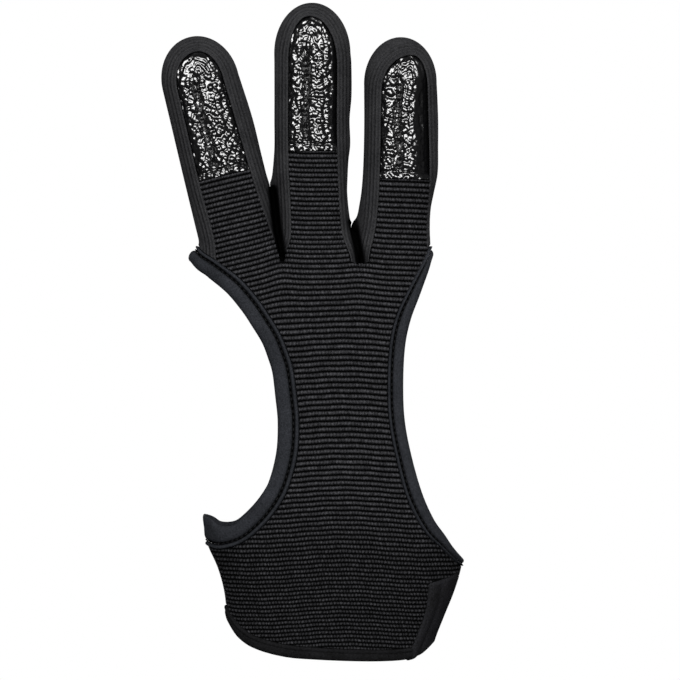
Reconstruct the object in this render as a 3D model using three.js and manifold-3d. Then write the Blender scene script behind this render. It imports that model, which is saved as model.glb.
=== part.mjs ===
// Archery glove for the drawing hand, shaped as it is worn: three closed finger sleeves with leather pads,
// a ribbed elastic palm panel, a smooth back panel, bound openings on both sides, and a cuff with a strap.
// Millimetres. +Z runs from the wrist to the fingertips, the palm faces -Y and the thumb side is +X.
// The origin is the middle of the wrist, where the hand's crease lies inside the cuff.
//
// The cloth follows one form of a hand, made as lofts. Each piece is a wall of that form, cut out along
// seam lines that are drawn in the front view, as a glove maker's patterns are.

import * as THREE from 'three';
import { mergeVertices } from 'three/addons/utils/BufferGeometryUtils.js';
import Module from 'manifold-3d';

const wasm = await Module();
wasm.setup();

// The hand that the glove is cut for, cloth included
const palmHeight = 105; // wrist crease to the forks between the fingers
const palmWidth = 80; // across the knuckles
const palmDepth = 28; // palm to back, at the knuckles
const webRise = 9.5; // how far the web stands above the forks, half way through the hand
const fingerLength = 79.7; // the middle finger's sleeve, from the forks to its tip
const fingerWidth = 23.3; // the middle finger's sleeve
const fingerDepth = 21.5; // front to back of a finger sleeve
const tipDrop = 4; // how far a fingertip curls towards the palm side

// The cloths
const smoothWall = 2.0; // knit-faced foam of the sleeves and the back
const ribbedWall = 1.7; // elastic ribbed webbing of the palm
const leatherWall = 1.7; // pebbled leather of the pads
const ribbedSink = 0.4; // how far ribbed cloth and leather lie below the smooth cloth round them
const seamGap = 0.3; // between any two pieces

// The trims
const bindingWidth = 6.0; // folded edge of the side openings
const bindingProud = 0.5; // how far a fold stands out from the cloth, on both faces
const hemWidth = 3.6; // folded edge round the wrist
const strapWidth = 21.5;
const strapWall = 1.5;
const strapReach = 25; // how far the strap's free end goes past the middle of the back
const strapRise = 7; // how much higher the free end lies than the sewn end
const strapStep = 0.31 * palmWidth; // where it steps over the edge of the back panel, from the back's middle

// Rounding of the forms
const squareness = 2.4; // exponent of the sections across the hand and the fingers: 2 is an ellipse
const webTaper = 1.6; // how much faster the web narrows from front to back than from side to side
const tipTurns = [25, 45, 62, 76, 86]; // degrees round a fingertip where its sections lie

// Facets
const fingerSides = 20;
const palmSides = 40;
const edgeSteps = 15;

// Each finger leans from a point on the knuckles, and forks from the next one at a share of palmWidth.
// A positive lean is towards the thumb. length and width are shares of fingerLength and fingerWidth. pad is a
// share of the finger's own length. cap (the rounded tip) and border (smooth cloth past the pad's tip) are
// shares of its own width.
// tube: along is a share of the length, shift and width are shares of the width, depth of fingerDepth.
// window: the seam between the smooth border and the ribbed strip, as shares of the width from the axis.
const fingerRows = [
	{
		name: 'ring_finger', base: -0.334, fork: -0.19, lean: -13.5, length: 0.892, width: 1.047,
		cap: 0.574, pad: 0.5485, border: 0.221, peak: 0.03,
		tube: [
			{ along: -0.3, shift: 0.0, width: 0.94, depth: 1.0 },
			{ along: 0.0, shift: 0.01, width: 1.0, depth: 1.06 },
			{ along: 0.22, shift: 0.02, width: 1.03, depth: 1.0 },
			{ along: 0.4, shift: 0.005, width: 1.01, depth: 0.97 },
			{ along: 0.8, shift: 0.0, width: 0.98, depth: 0.92 },
		],
		window: [
			{ along: -0.25, left: -0.34, right: 0.46 },
			{ along: 0.0, left: -0.34, right: 0.46 },
			{ along: 0.12, left: -0.29, right: 0.42 },
			{ along: 0.35, left: -0.31, right: 0.36 },
			{ along: 0.78, left: -0.3, right: 0.3 },
		],
	},
	{
		name: 'middle_finger', base: -0.064, fork: 0.115, lean: -0.7, length: 1.0, width: 1.0,
		cap: 0.665, pad: 0.5207, border: 0.197, peak: -0.04,
		tube: [
			{ along: -0.3, shift: 0.0, width: 1.08, depth: 1.0 },
			{ along: 0.0, shift: 0.0, width: 1.1, depth: 1.06 },
			{ along: 0.16, shift: -0.03, width: 1.03, depth: 1.01 },
			{ along: 0.26, shift: -0.045, width: 1.0, depth: 1.0 },
			{ along: 0.44, shift: 0.0, width: 1.0, depth: 0.97 },
			{ along: 0.8, shift: 0.01, width: 1.0, depth: 0.92 },
		],
		window: [
			{ along: -0.25, left: -0.39, right: 0.49 },
			{ along: 0.0, left: -0.39, right: 0.49 },
			{ along: 0.1, left: -0.29, right: 0.39 },
			{ along: 0.42, left: -0.315, right: 0.34 },
			{ along: 0.76, left: -0.3, right: 0.35 },
		],
	},
	{
		name: 'index_finger', base: 0.252, lean: 1.5, length: 0.867, width: 0.983,
		cap: 0.611, pad: 0.55, border: 0.262, peak: 0.1,
		tube: [
			{ along: -0.3, shift: -0.03, width: 1.02, depth: 1.0 },
			{ along: 0.0, shift: -0.04, width: 1.05, depth: 1.06 },
			{ along: 0.14, shift: -0.045, width: 1.03, depth: 1.02 },
			{ along: 0.25, shift: -0.01, width: 0.98, depth: 1.0 },
			{ along: 0.4, shift: 0.045, width: 1.0, depth: 0.97 },
			{ along: 0.8, shift: 0.0, width: 0.95, depth: 0.92 },
		],
		window: [
			{ along: -0.25, left: -0.35, right: 0.44 },
			{ along: 0.0, left: -0.35, right: 0.44 },
			{ along: 0.16, left: -0.27, right: 0.42 },
			{ along: 0.36, left: -0.245, right: 0.44 },
			{ along: 0.75, left: -0.25, right: 0.38 },
		],
	},
];

// The hand's body from below the hem to the web: z is a share of palmHeight, left and right are shares of
// palmWidth, front and back are shares of palmDepth.
const handSections = [
	{ z: -0.26, left: 0.39, right: 0.36, front: 0.69, back: 0.71 },
	{ z: -0.12, left: 0.395, right: 0.405, front: 0.71, back: 0.71 },
	{ z: -0.05, left: 0.4, right: 0.44, front: 0.73, back: 0.71 },
	{ z: 0.025, left: 0.41, right: 0.48, front: 0.74, back: 0.7 },
	{ z: 0.095, left: 0.435, right: 0.508, front: 0.73, back: 0.68 },
	{ z: 0.165, left: 0.475, right: 0.52, front: 0.71, back: 0.66 },
	{ z: 0.24, left: 0.5, right: 0.535, front: 0.67, back: 0.64 },
	{ z: 0.41, left: 0.54, right: 0.55, front: 0.59, back: 0.6 },
	{ z: 0.59, left: 0.58, right: 0.53, front: 0.53, back: 0.56 },
	{ z: 0.77, left: 0.59, right: 0.475, front: 0.5, back: 0.53 },
	{ z: 0.92, left: 0.56, right: 0.41, front: 0.47, back: 0.49 },
	{ z: 1.0, left: 0.545, right: 0.39, front: 0.44, back: 0.46 },
];

// The rounded top of the body between the fingers: rise is a share of webRise, inset of palmDepth
const webSections = [
	{ rise: 0.5, inset: 0.04 },
	{ rise: 0.85, inset: 0.105 },
	{ rise: 1.0, inset: 0.165 },
];

// Outer edges of the side openings in the front view, from the knuckles to the cuff: x is a share of
// palmWidth, z of palmHeight, fold of bindingWidth.
const littleFingerEdge = [
	{ x: -0.62, z: 1.075, fold: 0.8 },
	{ x: -0.55, z: 1.02, fold: 0.85 },
	{ x: -0.465, z: 0.94, fold: 0.9 },
	{ x: -0.36, z: 0.882, fold: 0.95 },
	{ x: -0.305, z: 0.82, fold: 0.95 },
	{ x: -0.256, z: 0.753, fold: 1.0 },
	{ x: -0.22, z: 0.685, fold: 1.0 },
	{ x: -0.2, z: 0.602, fold: 1.05 },
	{ x: -0.191, z: 0.52, fold: 1.05 },
	{ x: -0.203, z: 0.42, fold: 1.05 },
	{ x: -0.24, z: 0.337, fold: 1.0 },
	{ x: -0.298, z: 0.272, fold: 1.0 },
	{ x: -0.364, z: 0.232, fold: 1.0 },
	{ x: -0.42, z: 0.213, fold: 1.0 },
	{ x: -0.47, z: 0.216, fold: 0.95 },
	{ x: -0.51, z: 0.255, fold: 0.9 },
	{ x: -0.58, z: 0.34, fold: 0.9 },
];
const thumbEdge = [
	{ x: 0.46, z: 1.085, fold: 0.6 },
	{ x: 0.41, z: 1.03, fold: 0.6 },
	{ x: 0.391, z: 0.99, fold: 0.62 },
	{ x: 0.373, z: 0.957, fold: 0.7 },
	{ x: 0.332, z: 0.874, fold: 0.76 },
	{ x: 0.302, z: 0.797, fold: 0.8 },
	{ x: 0.287, z: 0.72, fold: 0.82 },
	{ x: 0.28, z: 0.644, fold: 0.84 },
	{ x: 0.287, z: 0.555, fold: 0.84 },
	{ x: 0.302, z: 0.449, fold: 0.84 },
	{ x: 0.327, z: 0.36, fold: 0.84 },
	{ x: 0.368, z: 0.283, fold: 0.8 },
	{ x: 0.422, z: 0.2, fold: 0.75 },
	{ x: 0.484, z: 0.13, fold: 0.7 },
	{ x: 0.56, z: 0.075, fold: 0.7 },
];

// Lower edge of the cuff in the front view, from the little finger's side to the thumb's
const hemEdge = [
	{ x: -0.47, z: 0.03 },
	{ x: -0.41, z: -0.01 },
	{ x: -0.372, z: -0.068 },
	{ x: -0.305, z: -0.122 },
	{ x: -0.22, z: -0.148 },
	{ x: -0.134, z: -0.156 },
	{ x: 0.012, z: -0.158 },
	{ x: 0.156, z: -0.163 },
	{ x: 0.24, z: -0.164 },
	{ x: 0.305, z: -0.156 },
	{ x: 0.365, z: -0.135 },
	{ x: 0.41, z: -0.105 },
	{ x: 0.47, z: -0.03 },
];

// Seam of the palm panel against the strap, from its upper corner at the side down to the hem
const strapLevel = 0.068; // upper edge of the strap at its seam, as a share of palmHeight
const strapSeam = [
	{ x: 0.6, z: 0.125 },
	{ x: 0.505, z: 0.09 },
	{ x: 0.44, z: strapLevel },
	{ x: 0.388, z: 0.058 },
	{ x: 0.37, z: -0.02 },
	{ x: 0.347, z: -0.074 },
	{ x: 0.314, z: -0.136 },
	{ x: 0.295, z: -0.2 },
];

const far = 3 * palmWidth; // past the glove on every side

// The fingers with their lengths worked out
const fingers = fingerRows.map((row) => {
	const [length, width] = [row.length * fingerLength, row.width * fingerWidth];
	return { ...row, length, width, cap: row.cap * width, pad: row.pad * length, border: row.border * width };
});

// Manifold solids from three.js geometries, and back

function solidOf(geometry) {
	const bare = geometry.clone();
	bare.deleteAttribute('normal');
	bare.deleteAttribute('uv');
	const merged = mergeVertices(bare, 1e-4);
	return new wasm.Manifold(new wasm.Mesh({
		numProp: 3,
		vertProperties: new Float32Array(merged.attributes.position.array),
		triVerts: new Uint32Array(merged.index.array),
	}));
}

function geometryOf(solid) {
	const made = solid.getMesh();
	const position = new Float32Array(made.numVert * 3);
	for (let i = 0; i < made.numVert; i++) {
		position.set(made.vertProperties.subarray(i * made.numProp, i * made.numProp + 3), i * 3);
	}
	const geometry = new THREE.BufferGeometry();
	geometry.setAttribute('position', new THREE.BufferAttribute(position, 3));
	geometry.setIndex(new THREE.BufferAttribute(made.triVerts, 1));
	geometry.computeVertexNormals();
	return geometry;
}

// A closed solid through rings of equally many points, with a fan at both ends
function loft(rings) {
	const sides = rings[0].length;
	const points = rings.flat();
	const faces = [];
	rings.slice(1).forEach((ring, row) => {
		for (let i = 0; i < sides; i++) {
			const next = (i + 1) % sides;
			const [a, b] = [row * sides + i, row * sides + next];
			const [c, d] = [a + sides, b + sides];
			faces.push(a, b, d, a, d, c);
		}
	});
	const middle = (ring) => ring.reduce((sum, p) => sum.add(p), new THREE.Vector3()).divideScalar(sides);
	const last = (rings.length - 1) * sides;
	const bottom = points.push(middle(rings[0])) - 1;
	const top = points.push(middle(rings.at(-1))) - 1;
	for (let i = 0; i < sides; i++) {
		const next = (i + 1) % sides;
		faces.push(bottom, next, i, top, last + i, last + next);
	}
	const geometry = new THREE.BufferGeometry().setFromPoints(points);
	geometry.setIndex(faces);
	return solidOf(geometry);
}

// A prism through the hand's depth, from an outline of [x, z] points, between two distances along Y
function prism(outline, from = -far, to = far) {
	const shape = new THREE.Shape(outline.map(([x, z]) => new THREE.Vector2(x, z)));
	const geometry = new THREE.ExtrudeGeometry(shape, { depth: to - from, bevelEnabled: false });
	geometry.rotateX(Math.PI / 2);
	geometry.translate(0, to, 0);
	return solidOf(geometry);
}

const box = ([x0, x1], [y0, y1], [z0, z1]) => prism([[x0, z0], [x1, z0], [x1, z1], [x0, z1]], y0, y1);

// Smooth reading of a table's column at a share, between its rows
function read(rows, key, column, at) {
	const last = rows.length - 1;
	let i = rows.findIndex((row) => row[key] > at) - 1;
	if (i < -1) i = last - 1;
	i = Math.min(Math.max(i, 0), last - 1);
	const [p, q] = [rows[i], rows[i + 1]];
	const slope = (a, b) => (b[column] - a[column]) / (b[key] - a[key]);
	const span = q[key] - p[key];
	const t = Math.min(Math.max((at - p[key]) / span, 0), 1);
	const enter = slope(rows[Math.max(i - 1, 0)], q) * span;
	const leave = slope(p, rows[Math.min(i + 2, last)]) * span;
	const [t2, t3] = [t * t, t * t * t];
	return p[column] * (2 * t3 - 3 * t2 + 1) + enter * (t3 - 2 * t2 + t)
		+ q[column] * (3 * t2 - 2 * t3) + leave * (t3 - t2);
}

// The form of the hand

function around(angle, left, right, front, back) {
	const power = 2 / squareness;
	const [c, s] = [Math.cos(angle), Math.sin(angle)];
	const bow = (v) => Math.sign(v) * Math.abs(v) ** power;
	return [bow(c) * (c < 0 ? left : right), bow(s) * (s < 0 ? front : back)];
}

const angles = (sides) => Array.from({ length: sides }, (_, i) => (i + 0.5) / sides * 2 * Math.PI);

// The body of the hand. An inner form runs on below the cuff, so that the wrist is left open.
function handBody(offset) {
	const ring = (z, row, inset = 0) => angles(palmSides).map((angle) => {
		const across = offset - inset;
		const through = offset - webTaper * inset;
		const [x, y] = around(angle, row.left * palmWidth + across, row.right * palmWidth + across,
			row.front * palmDepth + through, row.back * palmDepth + through);
		return new THREE.Vector3(x, y, z);
	});
	const foot = offset < 0 ? [ring(-palmHeight, handSections[0])] : [];
	const body = handSections.map((row) => ring(row.z * palmHeight, row));
	const web = webSections.map(({ rise, inset }) =>
		ring(palmHeight + rise * (webRise + offset), handSections.at(-1), inset * palmDepth));
	return loft([...foot, ...body, ...web]);
}

function placed(finger, along, across) {
	const lean = THREE.MathUtils.degToRad(finger.lean);
	return [
		finger.base * palmWidth + Math.sin(lean) * along + Math.cos(lean) * across,
		palmHeight + Math.cos(lean) * along - Math.sin(lean) * across,
	];
}

// A finger's tube with a rounded tip
function fingerTube(finger, offset) {
	const ring = (along, scale = 1) => {
		const share = along / finger.length;
		const width = read(finger.tube, 'along', 'width', share) * finger.width / 2;
		const depth = read(finger.tube, 'along', 'depth', share) * fingerDepth / 2;
		const shift = read(finger.tube, 'along', 'shift', share) * finger.width;
		const drop = tipDrop * Math.max(share, 0) ** 2;
		return angles(fingerSides).map((angle) => {
			const [across, y] = around(angle, width + offset, width + offset, depth + offset, depth + offset);
			const [x, z] = placed(finger, along, shift + across * scale);
			return new THREE.Vector3(x, y * scale - drop, z);
		});
	};
	const shoulder = finger.length + offset - finger.cap;
	const rows = finger.tube.map((row) => row.along * finger.length);
	const straight = rows.filter((along) => along < shoulder - finger.cap / 2).map((along) => ring(along));
	const tip = tipTurns.map(THREE.MathUtils.degToRad).map((turn) =>
		ring(shoulder + Math.sin(turn) * finger.cap, Math.cos(turn)));
	return loft([...straight, ring(shoulder), ...tip]);
}

// All of the hand, grown or shrunk, and the cloth between two such forms
function form(offset) {
	return fingers.reduce((sum, finger) => sum.add(fingerTube(finger, offset)), handBody(offset));
}

const wall = (outer, inner) => form(outer).subtract(form(inner));

// Outlines in the front view

const scaled = (rows) => rows.map((row) => [row.x * palmWidth, row.z * palmHeight]);

function curve(points, steps) {
	const spline = new THREE.SplineCurve(points.map(([x, z]) => new THREE.Vector2(x, z)));
	return spline.getPoints(steps).map((p) => [p.x, p.y]);
}

// Angles from one to another in equal steps, both ends included
function turns(from, to, steps) {
	const step = (to - from) / steps;
	return Array.from({ length: steps + 1 }, (_, i) => THREE.MathUtils.degToRad(from + step * i));
}

// An edge moved sideways by its own distance at each point. Positive is to the left of its direction.
function moved(points, distances) {
	return points.map(([x, z], i) => {
		const [before, after] = [points[Math.max(i - 1, 0)], points[Math.min(i + 1, points.length - 1)]];
		const [dx, dz] = [after[0] - before[0], after[1] - before[1]];
		const distance = distances[i] / Math.hypot(dx, dz);
		return [x - dz * distance, z + dx * distance];
	});
}

// The binding of a side opening: its strip, and all that is cut away with it from the panels
function sideEdge(rows, side) {
	const steps = (rows.length - 1) * 2;
	const outer = scaled(rows);
	const outerEdge = curve(outer, steps);
	const innerEdge = curve(moved(outer, rows.map((row) => side * row.fold * bindingWidth)), steps);
	const cutEdge = moved(innerEdge, innerEdge.map(() => side * seamGap));
	return {
		strip: prism([...outerEdge, ...innerEdge.reverse()]),
		cut: prism([...cutEdge, [-side * far, cutEdge.at(-1)[1]], [-side * far, cutEdge[0][1]]]),
	};
}

const littleFingerSide = sideEdge(littleFingerEdge, 1);
const thumbSide = sideEdge(thumbEdge, -1);

const hemLine = curve(scaled(hemEdge), edgeSteps);
const hemLevels = (rise) => moved(hemLine, hemLine.map(() => rise));

function under(edge) {
	return prism([...edge, [far, edge.at(-1)[1]], [far, -far], [-far, -far], [-far, edge[0][1]]]);
}

const underHem = under(hemLine);
const hemStrip = prism([...hemLine, ...hemLevels(hemWidth).reverse()]);
const underHemStrip = under(hemLevels(hemWidth + seamGap));

// Seam between a finger's smooth border and its strip and pad, grown by a distance
function windowOutline(finger, grow) {
	const edge = (side, sign) => finger.window.map((row) =>
		placed(finger, row.along * finger.length, row[side] * finger.width + sign * grow));
	const shoulder = finger.window.at(-1);
	const middle = (shoulder.left + shoulder.right) / 2 + finger.peak;
	const [left, right] = [shoulder.left * finger.width - grow, shoulder.right * finger.width + grow];
	const start = shoulder.along * finger.length;
	const rise = finger.length - finger.border - start + grow;
	const cap = turns(162, 18, 8).map((turn) => {
		const reach = Math.cos(turn) < 0 ? middle * finger.width - left : right - middle * finger.width;
		return placed(finger, start + rise * Math.sin(turn), middle * finger.width + Math.cos(turn) * reach);
	});
	return [...edge('left', -1), ...cap, ...edge('right', 1).reverse()];
}

// All of the front view beyond a line across a finger
function beyondLine(finger, along) {
	return prism([
		placed(finger, along, -finger.width), placed(finger, along, finger.width),
		placed(finger, 2 * finger.length, finger.width), placed(finger, 2 * finger.length, -finger.width),
	]);
}

const frontOnly = (solid, to = 0) => solid.intersect(box([-far, far], [-far, to], [-far, far]));
const behind = (solid, from = 0) => solid.intersect(box([-far, far], [from, far], [-far, far]));
const below = (z) => box([-far, far], [-far, far], [-far, z]);

const openings = littleFingerSide.cut.add(thumbSide.cut);
const padLine = (finger) => finger.length - finger.border - finger.pad;

// Ribbed panel of the palm, with a strip up each finger to the leather
function palmPanel() {
	const cloth = wall(-ribbedSink, -ribbedSink - ribbedWall);
	const strips = fingers.map((finger) =>
		prism(windowOutline(finger, -seamGap / 2)).subtract(beyondLine(finger, padLine(finger) - seamGap / 2)));
	const outline = strips.reduce((sum, strip) => sum.add(strip), below(palmHeight - seamGap));
	return frontOnly(cloth.intersect(outline), -seamGap / 2)
		.subtract(openings)
		.subtract(underHemStrip)
		.subtract(strapRegion(seamGap));
}

// The strap's field on the front, right of its seam, down past the hem
function strapRegion(grow, to = 0) {
	const seam = curve(scaled(strapSeam), edgeSteps);
	const edge = moved(seam, seam.map(() => -grow));
	return prism([...edge, [far, -far], [far, edge[0][1]]], -far, to);
}

function leatherPad(finger) {
	const leather = wall(-ribbedSink, -ribbedSink - leatherWall);
	const outline = prism(windowOutline(finger, -seamGap / 2));
	const tip = beyondLine(finger, padLine(finger) + seamGap / 2);
	return frontOnly(leather.intersect(outline).intersect(tip), -tipDrop);
}

// One finger's share of the web: the planes that part it from its neighbours lean half way between them
function fingerField(index, inset) {
	const parting = (before, after, side) => {
		if (!before || !after) return [[side * far, palmHeight], [side * far, far]];
		const lean = THREE.MathUtils.degToRad((before.lean + after.lean) / 2);
		const x = before.fork * palmWidth - side * (seamGap / 2 + inset);
		return [[x, palmHeight], [x + Math.tan(lean) * far, palmHeight + far]];
	};
	const left = parting(fingers[index - 1], fingers[index], -1);
	const right = parting(fingers[index], fingers[index + 1], 1);
	return prism([left[0], right[0], right[1], left[1]]);
}

// Smooth sleeve round one finger, open at the front for the pad and the ribbed strip
function fingerSleeve(finger, index) {
	const outside = fingerTube(finger, 0).add(handBody(0)).intersect(fingerField(index, 0));
	const inside = fingerTube(finger, -smoothWall).intersect(fingerField(index, smoothWall));
	const windows = fingers.map((each) => frontOnly(prism(windowOutline(each, seamGap / 2)), seamGap / 2));
	const tube = outside.subtract(inside).subtract(handBody(-smoothWall)).subtract(openings);
	return windows.reduce((rest, window) => rest.subtract(window), tube);
}

// Upper edge of the strap at a distance from the middle of the back
function strapTop(x) {
	return strapLevel * palmHeight + strapRise * (palmWidth / 2 - x) / (palmWidth / 2 + strapReach);
}

// The back panel stops at the strap's step, below the strap's upper edge
function backPanel() {
	const cloth = wall(0, -smoothWall).intersect(below(palmHeight - seamGap));
	const slit = [strapStep - seamGap, palmWidth].map((x) => [x, strapTop(x) + seamGap]);
	const sideSlit = prism([...slit, [palmWidth, -far], [strapStep - seamGap, -far]]);
	return behind(cloth, seamGap / 2).subtract(openings).subtract(underHemStrip).subtract(sideSlit);
}

// The strap's run over the back, in the front view, with its free end rounded
function strapBelt() {
	const middle = strapTop(-strapReach) - strapWidth / 2;
	const round = turns(90, 270, 8).map((turn) =>
		[Math.cos(turn) * strapWidth / 4 - strapReach, middle + Math.sin(turn) * strapWidth / 2]);
	return prism([[palmWidth, strapTop(palmWidth)], ...round, [palmWidth, strapTop(palmWidth) - strapWidth]]);
}

// Strap: flush with the palm panel from its seam round the side, then over the back panel
function wristStrap() {
	const outside = bindingProud + seamGap;
	const belt = strapBelt();
	const step = [strapStep, strapStep + strapWall];
	const flush = wall(0, -strapWall);
	const front = flush.intersect(strapRegion(0, seamGap)).subtract(underHem);
	const side = flush.intersect(box([strapStep, far], [0, far], [-far, far])).intersect(belt);
	const over = wall(outside + strapWall, -strapWall).intersect(box(step, [0, far], [-far, far]));
	const back = wall(outside + strapWall, outside).intersect(box([-far, step[1]], [0, far], [-far, far]));
	return front.add(side).add(over.add(back).intersect(belt)).subtract(thumbSide.cut);
}

// A fold round a side opening, proud of the cloth inside and out
function binding(edge) {
	return wall(bindingProud, -smoothWall - bindingProud).intersect(edge.strip);
}

// Hem: round the cuff, open at the thumb's side where the strap crosses
function wristHem() {
	const hem = wall(bindingProud, -smoothWall - bindingProud).intersect(hemStrip);
	const slit = box([strapStep - seamGap, far], [0, far], [-far, far]);
	return hem.subtract(strapRegion(seamGap)).subtract(slit);
}

// The glove

const cloths = {
	smooth: new THREE.MeshStandardMaterial({ color: 0x26272a, roughness: 0.85, metalness: 0 }),
	ribbed: new THREE.MeshStandardMaterial({ color: 0x1a1a1c, roughness: 0.9, metalness: 0 }),
	leather: new THREE.MeshStandardMaterial({ color: 0x0c0c0d, roughness: 0.3, metalness: 0 }),
};

const glove = new THREE.Group();

function add(name, solid, material) {
	const mesh = new THREE.Mesh(geometryOf(solid), material);
	mesh.name = name;
	glove.add(mesh);
}

add('palm_panel', palmPanel(), cloths.ribbed);
add('back_panel', backPanel(), cloths.smooth);
fingers.forEach((finger, index) => {
	add(`${finger.name}_sleeve`, fingerSleeve(finger, index), cloths.smooth);
	add(`${finger.name}_pad`, leatherPad(finger), cloths.leather);
});
add('little_finger_side_binding', binding(littleFingerSide), cloths.smooth);
add('thumb_side_binding', binding(thumbSide), cloths.smooth);
add('wrist_hem', wristHem(), cloths.smooth);
add('wrist_strap', wristStrap(), cloths.smooth);

export default glove;
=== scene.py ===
import math

import bmesh
import bpy
import numpy as np
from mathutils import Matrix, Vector
from mathutils.kdtree import KDTree


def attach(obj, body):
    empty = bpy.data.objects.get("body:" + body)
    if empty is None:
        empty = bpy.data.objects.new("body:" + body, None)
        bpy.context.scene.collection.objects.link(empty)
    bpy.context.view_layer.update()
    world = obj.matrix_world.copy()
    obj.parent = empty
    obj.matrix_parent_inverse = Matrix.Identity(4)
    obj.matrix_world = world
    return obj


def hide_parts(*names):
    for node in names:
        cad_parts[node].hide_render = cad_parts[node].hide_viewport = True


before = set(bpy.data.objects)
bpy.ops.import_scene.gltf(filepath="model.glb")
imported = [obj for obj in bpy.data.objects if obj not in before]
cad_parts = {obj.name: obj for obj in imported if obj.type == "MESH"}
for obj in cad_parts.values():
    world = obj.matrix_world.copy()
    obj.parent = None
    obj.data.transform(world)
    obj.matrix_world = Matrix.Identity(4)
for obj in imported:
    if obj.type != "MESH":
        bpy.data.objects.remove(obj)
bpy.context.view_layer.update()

# Looks of an archery glove as it is worn. All sizes are millimetres until a mesh is made.
# +Z runs to the fingertips, the palm faces -Y and the thumb side is +X.

MM = 0.001
PALM_HEIGHT, PALM_WIDTH, PALM_DEPTH = 105.0, 80.0, 28.0
WEB_RISE = 9.5
FINGER_LENGTH, FINGER_WIDTH, FINGER_DEPTH = 79.7, 23.3, 21.5
TIP_DROP = 4.0
SQUARENESS = 2.4
BLEND = 2.2  # rounding where a finger meets the palm

SMOOTH_WALL, RIBBED_WALL, LEATHER_WALL = 2.0, 1.7, 1.7
RIBBED_SINK = 0.4
SEAM_GAP = 0.3
FAR = 240.0

LAP = 0.8  # how far a seam slants through the cloth
PARTING_FRONT = -12.0  # depth at which the partings between fingers keep their place
V_DIP = 1.4  # how far the crease between middle and index finger runs down past their forks

RIB_HEIGHT = 0.75
ROWS_PER_RIB = 6

STRAP_LEVEL, STRAP_RISE, STRAP_REACH, STRAP_WIDTH, STRAP_WALL = 0.068, 7.0, 25.0, 21.5, 1.5
STRAP_STEP = 0.31 * PALM_WIDTH  # where it steps over the edge of the back panel
HALF_WRIST = 38.0  # half the wrist's width, about a third of the strap's length too
BINDING_WIDTH = 6.5
FOLD_LINE = 2.1  # from a fold's inner edge to where its wide part begins
STITCH_LINE = 1.6  # from a binding's inner edge to its row of stitches
STITCH_PITCH = 1.9
BINDING_STEP, HEM_STEP = 0.4, 0.5  # between two sections of a fold
PATH_ROUNDS = 14  # how often a fold's path is smoothed and laid on the hand again

# along, shift, width, depth of a finger's tube, then along, left, right of the seam round its window
FINGERS = [
    dict(
        name="ring_finger", base=-0.334, fork=-0.19, lean=-13.5, length=0.892, width=1.047,
        cap=0.574, pad=0.5485, border=0.221, peak=0.03, pitch=1.55, web_level=2.77, dull=0.95,
        tube=[(-0.3, 0.0, 0.94, 1.0), (0.0, 0.01, 1.0, 1.06), (0.22, 0.02, 1.03, 1.0),
              (0.45, 0.02, 1.03, 0.96), (0.6, 0.02, 1.025, 0.94), (0.8, 0.0, 0.98, 0.92)],
        window=[(-0.25, -0.34, 0.46), (0.0, -0.34, 0.46), (0.12, -0.29, 0.42), (0.35, -0.31, 0.36),
                (0.78, -0.3, 0.3)],
    ),
    dict(
        name="middle_finger", base=-0.064, fork=0.115, lean=-0.7, length=1.0, width=1.0,
        cap=0.665, pad=0.5207, border=0.197, peak=-0.04, pitch=1.47, web_level=0.0, dull=0.85,
        tube=[(-0.3, 0.0, 1.08, 1.0), (0.0, -0.005, 1.11, 1.06), (0.145, -0.033, 1.064, 1.02),
              (0.208, -0.048, 1.044, 1.01), (0.27, -0.0505, 1.021, 1.0), (0.31, -0.04, 1.01, 0.99),
              (0.39, -0.0165, 0.997, 0.98), (0.452, 0.004, 1.008, 0.97), (0.55, 0.0035, 1.001, 0.955),
              (0.64, 0.0205, 1.025, 0.94), (0.768, 0.0245, 1.023, 0.925), (0.806, 0.0195, 1.013, 0.92)],
        window=[(-0.25, -0.39, 0.49), (0.0, -0.39, 0.49), (0.1, -0.29, 0.39), (0.42, -0.315, 0.34),
                (0.76, -0.3, 0.35)],
    ),
    dict(
        name="index_finger", base=0.252, fork=None, lean=1.5, length=0.867, width=0.983,
        cap=0.611, pad=0.55, border=0.262, peak=0.1, pitch=1.6, web_level=0.28, dull=0.66,
        tube=[(-0.3, -0.06, 1.08, 1.0), (0.0, -0.0675, 1.105, 1.06), (0.14, -0.075, 1.07, 1.02),
              (0.17, -0.0585, 1.033, 1.02), (0.2, -0.036, 0.988, 1.01), (0.25, -0.0175, 0.971, 1.0),
              (0.31, 0.01, 0.98, 0.99), (0.4, 0.0395, 1.011, 0.97), (0.52, 0.039, 1.004, 0.955),
              (0.634, 0.032, 1.0, 0.94), (0.74, 0.017, 0.99, 0.925), (0.8, 0.0065, 0.981, 0.92)],
        window=[(-0.25, -0.35, 0.44), (0.0, -0.35, 0.44), (0.16, -0.27, 0.42), (0.36, -0.245, 0.44),
                (0.75, -0.25, 0.38)],
    ),
]
for finger in FINGERS:
    finger["length"] *= FINGER_LENGTH
    finger["width"] *= FINGER_WIDTH
    finger["cap"] *= finger["width"]
    finger["pad"] *= finger["length"]
    finger["border"] *= finger["width"]
    finger["shoulder"] = finger["length"] - finger["cap"]

# z, left, right, front, back of the hand's body
HAND_SECTIONS = [
    (-0.26, 0.39, 0.36, 0.69, 0.71), (-0.12, 0.395, 0.405, 0.71, 0.71), (-0.05, 0.4, 0.44, 0.73, 0.71),
    (0.025, 0.41, 0.48, 0.74, 0.7), (0.095, 0.435, 0.508, 0.73, 0.68), (0.165, 0.475, 0.52, 0.71, 0.66),
    (0.24, 0.5, 0.535, 0.67, 0.64), (0.41, 0.54, 0.55, 0.59, 0.6), (0.59, 0.58, 0.53, 0.53, 0.56),
    (0.77, 0.59, 0.475, 0.5, 0.53), (0.92, 0.56, 0.41, 0.47, 0.49), (1.0, 0.545, 0.39, 0.44, 0.46),
]

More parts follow.
